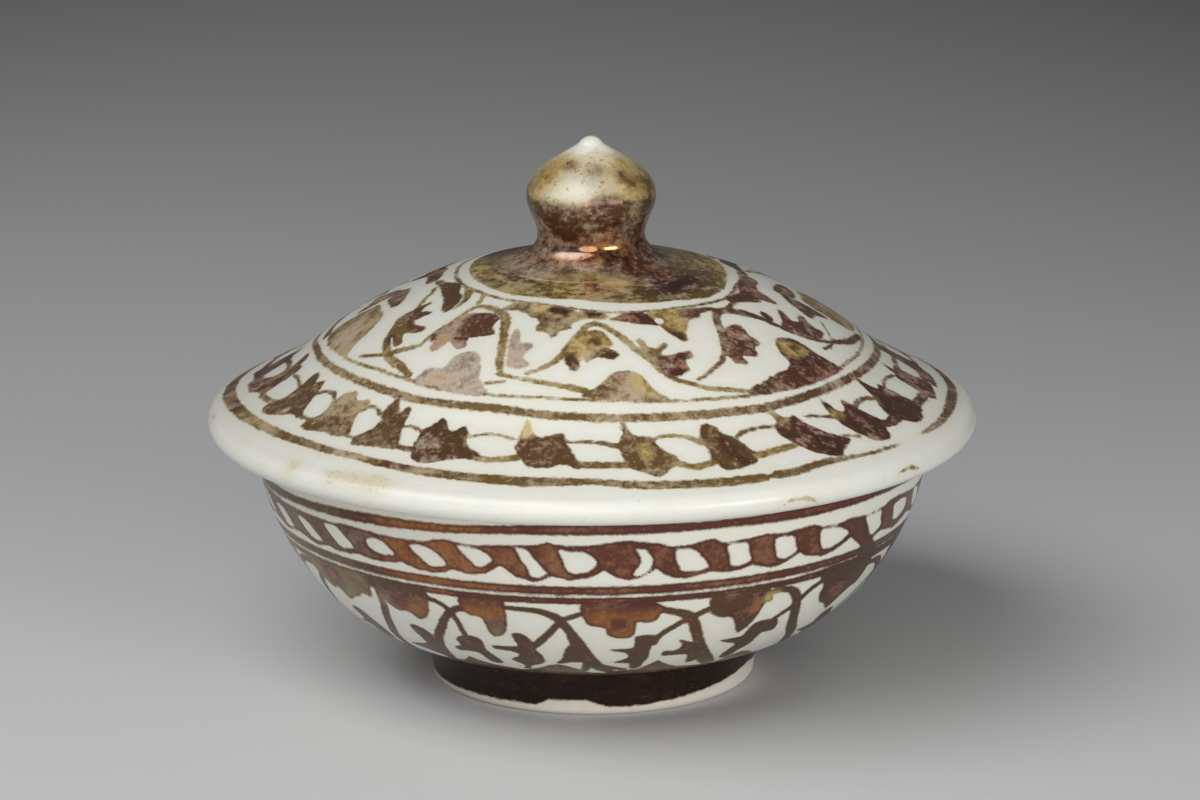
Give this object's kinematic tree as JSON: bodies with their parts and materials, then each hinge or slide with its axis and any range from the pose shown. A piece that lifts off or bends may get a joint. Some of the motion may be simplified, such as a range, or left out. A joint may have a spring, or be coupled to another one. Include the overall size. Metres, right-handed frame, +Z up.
{
  "type": "lidded bowl",
  "caption": "Round glazed bowl on a foot ring, with a domed lid that lifts off by a bud-shaped knob.",
  "frame": {"origin": "centre of the foot, on the surface that the bowl stands on", "axes": "+Z up along the axis of the bowl and lid; the pictured side faces -Y"},
  "size_m": [0.1648, 0.1648, 0.1181],
  "materials": {
    "painted_glaze": "gloss",
    "plain_glaze": "gloss",
    "foot_glaze": "gloss",
    "knob_lustre": "gloss"
  },
  "bodies": {
    "bowl": {"bowl_wall": "painted_glaze", "foot_ring": "foot_glaze"},
    "lid": {"lid_dome": "painted_glaze", "lid_flange": "plain_glaze", "lid_knob": "knob_lustre"}
  },
  "joints": [
    {"name": "lid_lift", "type": "slide", "parent": "bowl", "child": "lid", "axis": [0, 0, 1], "range_m": [0, 0.1]}
  ]
}
